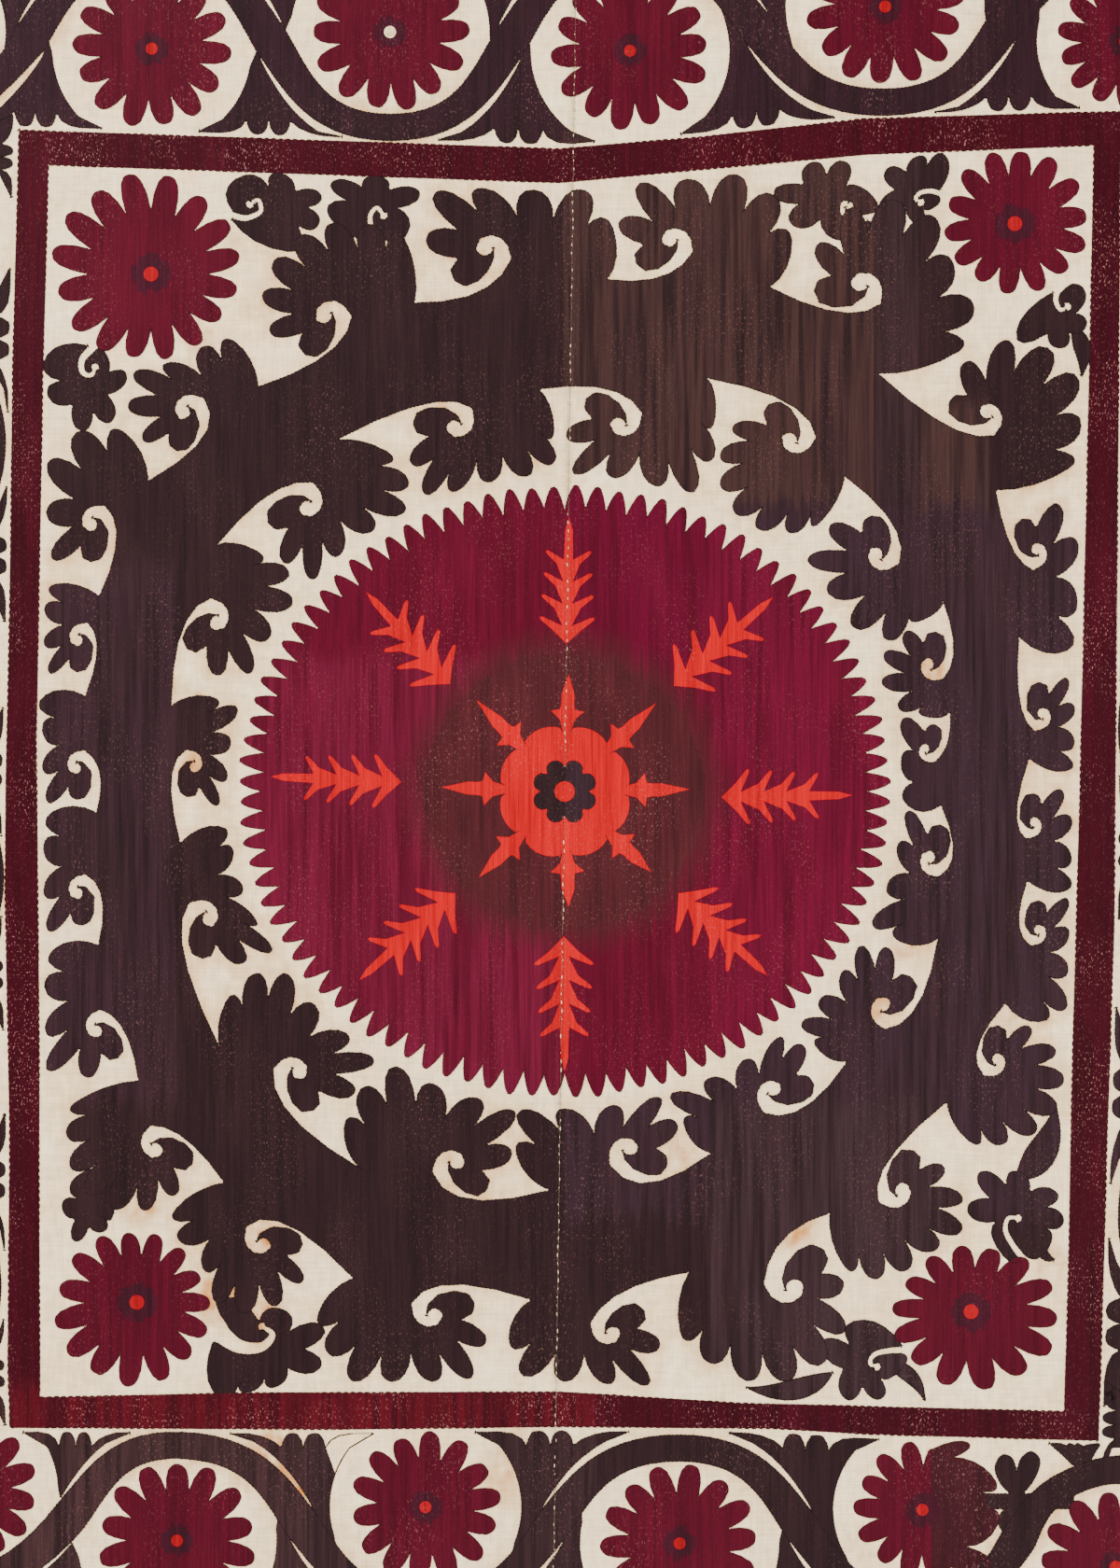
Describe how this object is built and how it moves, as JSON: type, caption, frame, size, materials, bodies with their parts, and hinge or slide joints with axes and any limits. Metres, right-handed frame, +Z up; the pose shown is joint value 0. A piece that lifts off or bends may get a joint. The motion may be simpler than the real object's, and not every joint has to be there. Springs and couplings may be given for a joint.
{
  "type": "suzani embroidered textile",
  "caption": "Flat hanging of two joined cotton panels, worked in laid silk with a toothed medallion, a wreath of curled leaves, a frame and a rosette border.",
  "frame": {"origin": "on the surface that the cloth lies on, under the middle of the medallion, which is the middle of the cloth's box", "axes": "+Z up out of the worked face, +Y along the centre seam towards the top of the pattern, +X right"},
  "size_m": [1.67, 1.88, 0.0021],
  "materials": {
    "unbleached cotton": "plain-weave unbleached cotton, matt",
    "crimson silk": "laid and couched silk, soft sheen",
    "dark aubergine silk": "laid and couched silk, soft sheen",
    "scarlet silk": "laid and couched silk, soft sheen"
  },
  "bodies": {
    "root": {"border_rosette_01": "crimson silk", "border_rosette_02": "crimson silk", "border_rosette_03": "crimson silk", "border_rosette_04_left": "crimson silk", "border_rosette_04_right": "crimson silk", "border_rosette_05": "crimson silk", "border_rosette_06": "crimson silk", "border_rosette_07": "crimson silk", "border_rosette_08": "crimson silk", "border_rosette_09": "crimson silk", "border_rosette_10": "crimson silk", "border_rosette_11": "crimson silk", "border_rosette_12": "crimson silk", "border_rosette_13": "crimson silk", "border_rosette_14": "crimson silk", "border_rosette_15": "crimson silk", "border_rosette_16": "crimson silk", "border_rosette_17": "crimson silk", "border_rosette_18": "crimson silk", "border_rosette_19": "crimson silk", "border_rosette_20": "crimson silk", "border_rosette_21": "crimson silk", "border_rosette_22": "crimson silk", "border_rosette_23": "crimson silk", "border_rosette_24": "crimson silk", "corner_rosette_foot_left": "crimson silk", "corner_rosette_foot_right": "crimson silk", "corner_rosette_top_left": "crimson silk", "corner_rosette_top_right": "crimson silk", "cotton_left": "unbleached cotton", "cotton_right": "unbleached cotton", "flower_left": "scarlet silk", "flower_right": "scarlet silk", "frame_left": "crimson silk", "frame_right": "crimson silk", "ground_left": "dark aubergine silk", "ground_right": "dark aubergine silk", "medallion_left": "crimson silk", "medallion_right": "crimson silk", "sprig_foot_left": "scarlet silk", "sprig_foot_right": "scarlet silk", "sprig_left": "scarlet silk", "sprig_lower_left": "scarlet silk", "sprig_lower_right": "scarlet silk", "sprig_right": "scarlet silk", "sprig_top_left": "scarlet silk", "sprig_top_right": "scarlet silk", "sprig_upper_left": "scarlet silk", "sprig_upper_right": "scarlet silk", "vine_left": "dark aubergine silk", "vine_right": "dark aubergine silk", "wreath_left": "dark aubergine silk", "wreath_right": "dark aubergine silk"}
  },
  "joints": []
}
